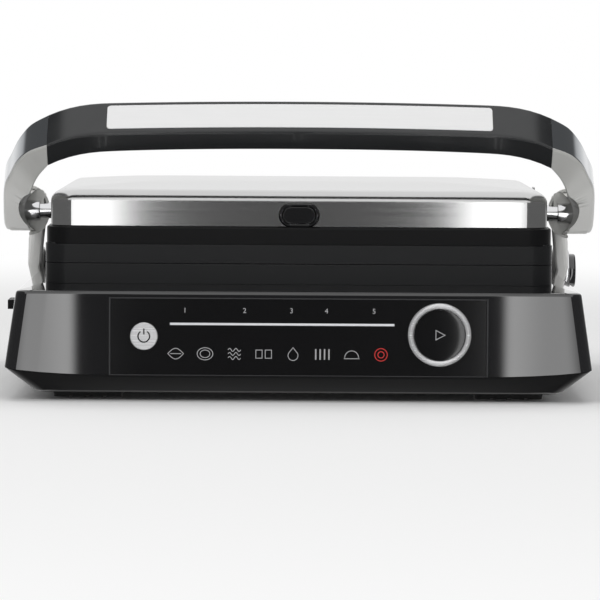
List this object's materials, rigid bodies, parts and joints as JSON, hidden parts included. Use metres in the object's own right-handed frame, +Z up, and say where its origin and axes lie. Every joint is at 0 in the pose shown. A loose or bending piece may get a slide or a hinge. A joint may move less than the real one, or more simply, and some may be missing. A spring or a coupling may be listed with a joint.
{
  "type": "electric indoor grill with lid",
  "caption": "Countertop contact grill: wide base with front control panel, ribbed plates, and a floating steel lid carried on a hinged U-shaped handle.",
  "frame": {"origin": "under the middle of the base, on the surface that the feet stand on", "axes": "+X to the right seen from the control panel, +Y towards the rear hinge, +Z up"},
  "size_m": [0.398, 0.316, 0.1916],
  "materials": {
    "gloss_black": "gloss piano black moulding",
    "satin_black": "satin black moulded plastic",
    "rubber": "matte black rubber",
    "panel_glass": "high gloss black panel",
    "trim_silver": "thin bright trim",
    "light_guide": "frosted light guide",
    "board_green": "laminate with solder mask",
    "steel_plain": "plain zinc plated steel",
    "plate_coating": "dark non-stick coating on cast aluminium",
    "cast_satin": "satin die-cast metal",
    "brushed_lid": "fine horizontal brushing",
    "inlay_satin": "pale satin anodised strip",
    "pin_chrome": "bright turned steel",
    "wool": "mineral wool felt",
    "bronze": "sintered bronze"
  },
  "bodies": {
    "base": {"base_housing": "gloss_black", "bottom_cover": "satin_black", "rubber_feet": "rubber", "control_panel": "panel_glass", "panel_trim": "trim_silver", "status_bar": "light_guide", "control_board": "board_green", "rotary_encoder": "satin_black", "start_switch": "satin_black", "power_switch": "satin_black", "power_board": "board_green", "board_screws": "steel_plain", "cord_gland": "rubber", "hinge_covers": "satin_black", "hinge_brackets": "steel_plain", "hinge_shafts": "steel_plain", "housing_screws": "steel_plain", "drip_chute": "steel_plain", "lower_reflector": "steel_plain", "lower_heater": "steel_plain", "lower_sensor": "steel_plain", "thermal_fuse": "steel_plain", "lower_plate": "plate_coating", "lower_latch": "steel_plain"},
    "arms": {"arm_left": "cast_satin", "arm_right": "cast_satin", "handle_bar": "gloss_black", "handle_inlay": "inlay_satin", "handle_screws": "steel_plain", "hinge_collar": "pin_chrome", "pivot_pins": "pin_chrome"},
    "lid": {"lid_shell": "brushed_lid", "lid_frame": "satin_black", "lid_reflector": "steel_plain", "upper_heater": "steel_plain", "upper_sensor": "steel_plain", "insulation_pad": "wool", "upper_plate": "plate_coating", "upper_latch": "steel_plain", "pivot_bushes": "bronze", "lid_screws": "steel_plain", "tilt_stop": "steel_plain", "oval_bezel": "gloss_black"},
    "tray": {"drip_tray": "satin_black"},
    "power_key": {"power_button": "trim_silver"},
    "dial": {"dial_ring": "trim_silver"},
    "start_key": {"start_button": "panel_glass"},
    "hinge_key": {"hinge_button": "gloss_black"},
    "lower_key": {"lower_button": "satin_black"},
    "upper_key": {"upper_button": "gloss_black"}
  },
  "joints": [
    {"name": "arm_hinge", "type": "hinge", "parent": "base", "child": "arms", "pos_m": [0, 0.142, 0.068], "axis": [-1, 0, 0], "range_deg": [0, 165]},
    {"name": "lid_tilt", "type": "hinge", "parent": "arms", "child": "lid", "pos_m": [0, 0.007, 0.115], "axis": [-1, 0, 0], "range_deg": [0, 11.2]},
    {"name": "tray_slide", "type": "slide", "parent": "base", "child": "tray", "axis": [0, 1, 0], "range_m": [0, 0.07]},
    {"name": "dial_turn", "type": "hinge", "parent": "base", "child": "dial", "pos_m": [0.0898, -0.1545, 0.044], "axis": [0, -1, 0], "continuous": true},
    {"name": "start_press", "type": "slide", "parent": "base", "child": "start_key", "axis": [0, 1, 0], "range_m": [0, 0.001], "stiffness_N_per_m": 400, "springref_m": -0.001},
    {"name": "power_press", "type": "slide", "parent": "base", "child": "power_key", "axis": [0, 1, 0], "range_m": [0, 0.001], "stiffness_N_per_m": 400, "springref_m": -0.001},
    {"name": "hinge_release_press", "type": "slide", "parent": "arms", "child": "hinge_key", "axis": [-1, 0, 0], "range_m": [0, 0.0025], "stiffness_N_per_m": 400, "springref_m": -0.001},
    {"name": "lower_release_press", "type": "slide", "parent": "base", "child": "lower_key", "axis": [1, 0, 0], "range_m": [0, 0.003], "stiffness_N_per_m": 400, "springref_m": -0.001},
    {"name": "upper_release_press", "type": "slide", "parent": "lid", "child": "upper_key", "axis": [0, 1, 0], "range_m": [0, 0.003], "stiffness_N_per_m": 400, "springref_m": -0.001}
  ],
  "couplings": [
    {"joint": "lid_tilt", "follows": "arm_hinge", "ratio": 0.0667}
  ]
}
